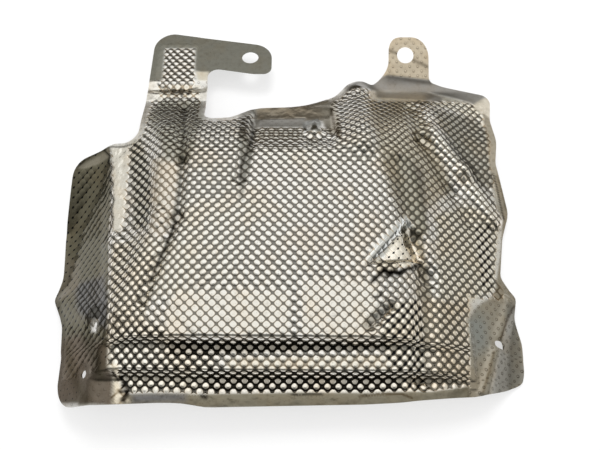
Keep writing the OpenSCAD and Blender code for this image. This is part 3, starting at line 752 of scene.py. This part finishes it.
# how dark the grooves are: tan dirt at first, then painted shade deeper in
groove_dirt_and_shade = N.times(N.math("SUBTRACT", 1.0, N.ramp(bead, 0.34, 0.60)), grooves.outputs[2])
roof = N.times(ca, cb)
relief = N.math("SUBTRACT", N.times(bead, 0.40), N.times(N.times(roof, roof), 0.10))
folds = N.noise(on_blank, 0.2, 1.6, 0.5)
crumple = N.times(N.times(folds, N.attribute("crushed", "Fac")), 0.8)
relief = N.math("ADD", N.times(relief, N.times(emboss, bumps_left)), crumple)

# where the bumps are pressed flat again their tops still show as small dots, each with a ring of painted
# shade around it
plain = N.math("SUBTRACT", 1.0, emboss, held=True)
dotted = N.times(plain, bumps_left)
dot = N.times(N.ramp(roof, 0.86, 0.97), dotted)
ring = N.times(N.times(N.ramp(roof, 0.68, 0.84), N.ramp(roof, 0.95, 0.86)), dotted)
bump = N.new("ShaderNodeBump")
N.put(bump, "Strength", 1.0)
N.put(bump, "Distance", MM)
N.put(bump, "Height", N.math("ADD", relief, N.times(dot, 0.10)))

# from clean metal through tan dirt to grey and then black painted shade as the groove darkening grows, then
# grain, heat and specks
colour = N.mix(N.ramp(groove_dirt_and_shade, 0.0, 0.45), BARE_METAL, TAN_DIRT)
colour = N.mix(N.ramp(groove_dirt_and_shade, 0.35, 1.0), colour, GREY_GROOVE_SHADE)
colour = N.mix(N.ramp(groove_dirt_and_shade, 1.0, 1.8), colour, BLACK_GROOVE_SHADE)
grain = N.ramp(N.noise(on_blank, 0.35, 4.0, 0.6), 0.48, 0.75, 0, 0.35)
clouds = N.ramp(N.noise(on_blank, 0.045, 3.0, 0.6), 0.45, 0.65, 0, 0.35)
specks = N.ramp(N.noise(on_blank, 1.3, 2.0, 0.5), 0.62, 0.72, 0, 0.5)
colour = N.mix(grain, colour, GRAIN_TINT, "MULTIPLY")
colour = N.mix(clouds, colour, HEAT_TINT, "MULTIPLY")
colour = N.mix(specks, colour, SPECK_TINT, "MULTIPLY")
# painted shade: a dark ring around each dot
colour = N.mix(N.times(ring, 0.7), colour, RING_SHADE_TINT, "MULTIPLY")
# stains and tints of each area, with painted shade and painted highlights in some areas
colour = N.mix(1.0, colour, N.attribute("stains_and_painted_light"), "MULTIPLY")

# painted shade: black where two grooves cross, the deepest points between the bumps
slot_shade = N.times(N.math("SUBTRACT", 1.0, cb), N.math("SUBTRACT", 1.0, N.times(ca, 0.65)))
slot_shade = N.ramp(N.times(slot_shade, N.attribute("slots", "Fac")), 0.50, 0.74)
colour = N.mix(slot_shade, colour, SLOT_SHADE_BLACK)

shader = N.new("ShaderNodeBsdfPrincipled")
N.put(shader, "Base Color", colour)
N.put(shader, "Metallic", 1.0)
N.put(shader, "Roughness", N.math("ADD", POLISH, N.times(plain, DULLER)))
N.put(shader, "Normal", bump.outputs[0])
out = N.new("ShaderNodeOutputMaterial")
N.put(out, "Surface", shader.outputs[0])
shield.data.materials.clear()
shield.data.materials.append(metal)

# Table top: a plain pale board that the shield lies on, a hair below the sheet's lowest edge.
# It glows a little to the camera and in the metal, so that the ground of the picture is white.
TABLE_SIDE, TABLE_DROP, TABLE_GLOW = 8, 0.0004, 0.6
bpy.ops.object.select_all(action="DESELECT")
bpy.ops.mesh.primitive_plane_add(size=TABLE_SIDE, location=(0, 0, -TABLE_DROP))
floor = bpy.context.object
floor.name = "table_top"
board = bpy.data.materials.new("pale_board")
board.use_nodes = True
N = Nodes(board.node_tree)
lit = N.new("ShaderNodeBsdfDiffuse")
N.put(lit, "Color", (0.9, 0.9, 0.9, 1))
white = N.new("ShaderNodeEmission")
N.put(white, "Color", (1, 1, 1, 1))
N.put(white, "Strength", 1.0)
path = N.new("ShaderNodeLightPath")
seen = N.math("MAXIMUM", path.outputs["Is Glossy Ray"], path.outputs["Is Transmission Ray"])
seen = N.math("MAXIMUM", path.outputs["Is Camera Ray"], seen)
both = N.new("ShaderNodeMixShader")
N.put(both, 0, N.times(seen, TABLE_GLOW))
N.put(both, 1, lit.outputs[0])
N.put(both, 2, white.outputs[0])
out = N.new("ShaderNodeOutputMaterial")
N.put(out, "Surface", both.outputs[0])
floor.data.materials.append(board)

# Studio: a white room, and in it a round cloth tent that only the metal mirrors. The tent is dim
# and warm at the back and the left, grey in front, and has a bright window above and one on each side.
world = bpy.data.worlds.new("studio")
bpy.context.scene.world = world
world.use_nodes = True
N = Nodes(world.node_tree)
sky = N.new("ShaderNodeBackground")
N.put(sky, "Color", (1, 1, 1, 1))
N.put(sky, "Strength", 1.0)
out = N.new("ShaderNodeOutputWorld")
N.put(out, "Surface", sky.outputs[0])

TENT_R = 2
BACK_CLOTH, FRONT_CLOTH = (0.11, 0.095, 0.07, 1), (0.46, 0.45, 0.42, 1)
RIGHT_CLOTH, HIGH_CLOTH = (0.12, 0.12, 0.11, 1), (0.17, 0.17, 0.16, 1)
# each window: the way to its middle, where its soft edge starts and ends, its brightness
WINDOWS = [((-0.64, 0.34, 0.69), 0.66, 0.96, (0.80, 0.79, 0.75, 1)),
           ((0.64, 0.34, 0.69), 0.62, 0.90, (0.66, 0.65, 0.61, 1)),
           ((0.0, 0.438, 0.899), 0.74, 0.93, (1.17, 1.165, 1.14, 1))]
bpy.ops.object.select_all(action="DESELECT")
bpy.ops.mesh.primitive_uv_sphere_add(segments=64, ring_count=32, radius=TENT_R, location=(0, 0, 0))
tent = bpy.context.object
tent.name = "studio_tent"
cloth = bpy.data.materials.new("tent_cloth")
cloth.use_nodes = True
N = Nodes(cloth.node_tree)
toward = N.new("ShaderNodeVectorMath", operation="NORMALIZE")
N.put(toward, 0, N.new("ShaderNodeTexCoord").outputs["Object"])
where = N.new("ShaderNodeSeparateXYZ")
N.put(where, 0, toward.outputs[0])
tone = N.mix(N.ramp(where.outputs[1], -0.1, -0.6), BACK_CLOTH, FRONT_CLOTH)
tone = N.mix(N.ramp(where.outputs[0], 0.2, 0.8), tone, RIGHT_CLOTH)
tone = N.mix(N.ramp(where.outputs[2], 0.12, 0.65), tone, HIGH_CLOTH)
for middle, start, full, shine in WINDOWS:
    window = N.new("ShaderNodeVectorMath", operation="DOT_PRODUCT")
    N.put(window, 0, toward.outputs[0])
    N.put(window, 1, middle)
    tone = N.mix(N.ramp(window.outputs["Value"], start, full), tone, shine)
glow = N.new("ShaderNodeEmission")
N.put(glow, "Color", tone)
out = N.new("ShaderNodeOutputMaterial")
N.put(out, "Surface", glow.outputs[0])
tent.data.materials.append(cloth)
tent.visible_camera = False
tent.visible_diffuse = False
tent.visible_shadow = False

# Lamp: one large soft lamp above and behind the shield, which lights the table and gives the
# soft shadow along the front edge. The metal doesn't mirror it, only the tent and the table.
LAMP_AT, LAMP_SIZE, LAMP_WATTS = Vector((0.0, 0.55, 1.1)), 0.55, 6
bulb = bpy.data.lights.new("key_soft", "AREA")
bulb.shape = "DISK"
bulb.size = LAMP_SIZE
bulb.energy = LAMP_WATTS
lamp = bpy.data.objects.new("key_soft", bulb)
bpy.context.collection.objects.link(lamp)
lamp.location = LAMP_AT
lamp.rotation_mode = "QUATERNION"
lamp.rotation_quaternion = (-LAMP_AT).to_track_quat("-Z", "Y")
lamp.visible_glossy = False

# Camera: looks down on the shield from the front, 26 degrees from straight down, at the
# height and with the lens that bring the outline to where the photograph has it.
CAMERA_AT, CAMERA_LEAN = (0.006893, -0.180936, 0.347), 26
camera = bpy.data.objects.new("camera", bpy.data.cameras.new("camera"))
bpy.context.collection.objects.link(camera)
camera.data.lens, camera.data.sensor_width = 42, 36
camera.location = CAMERA_AT
camera.rotation_euler = (math.radians(CAMERA_LEAN), 0, 0)
camera.data.clip_start, camera.data.clip_end = 0.01, 20
bpy.context.scene.camera = camera
bpy.context.scene.view_settings.view_transform = "Standard"
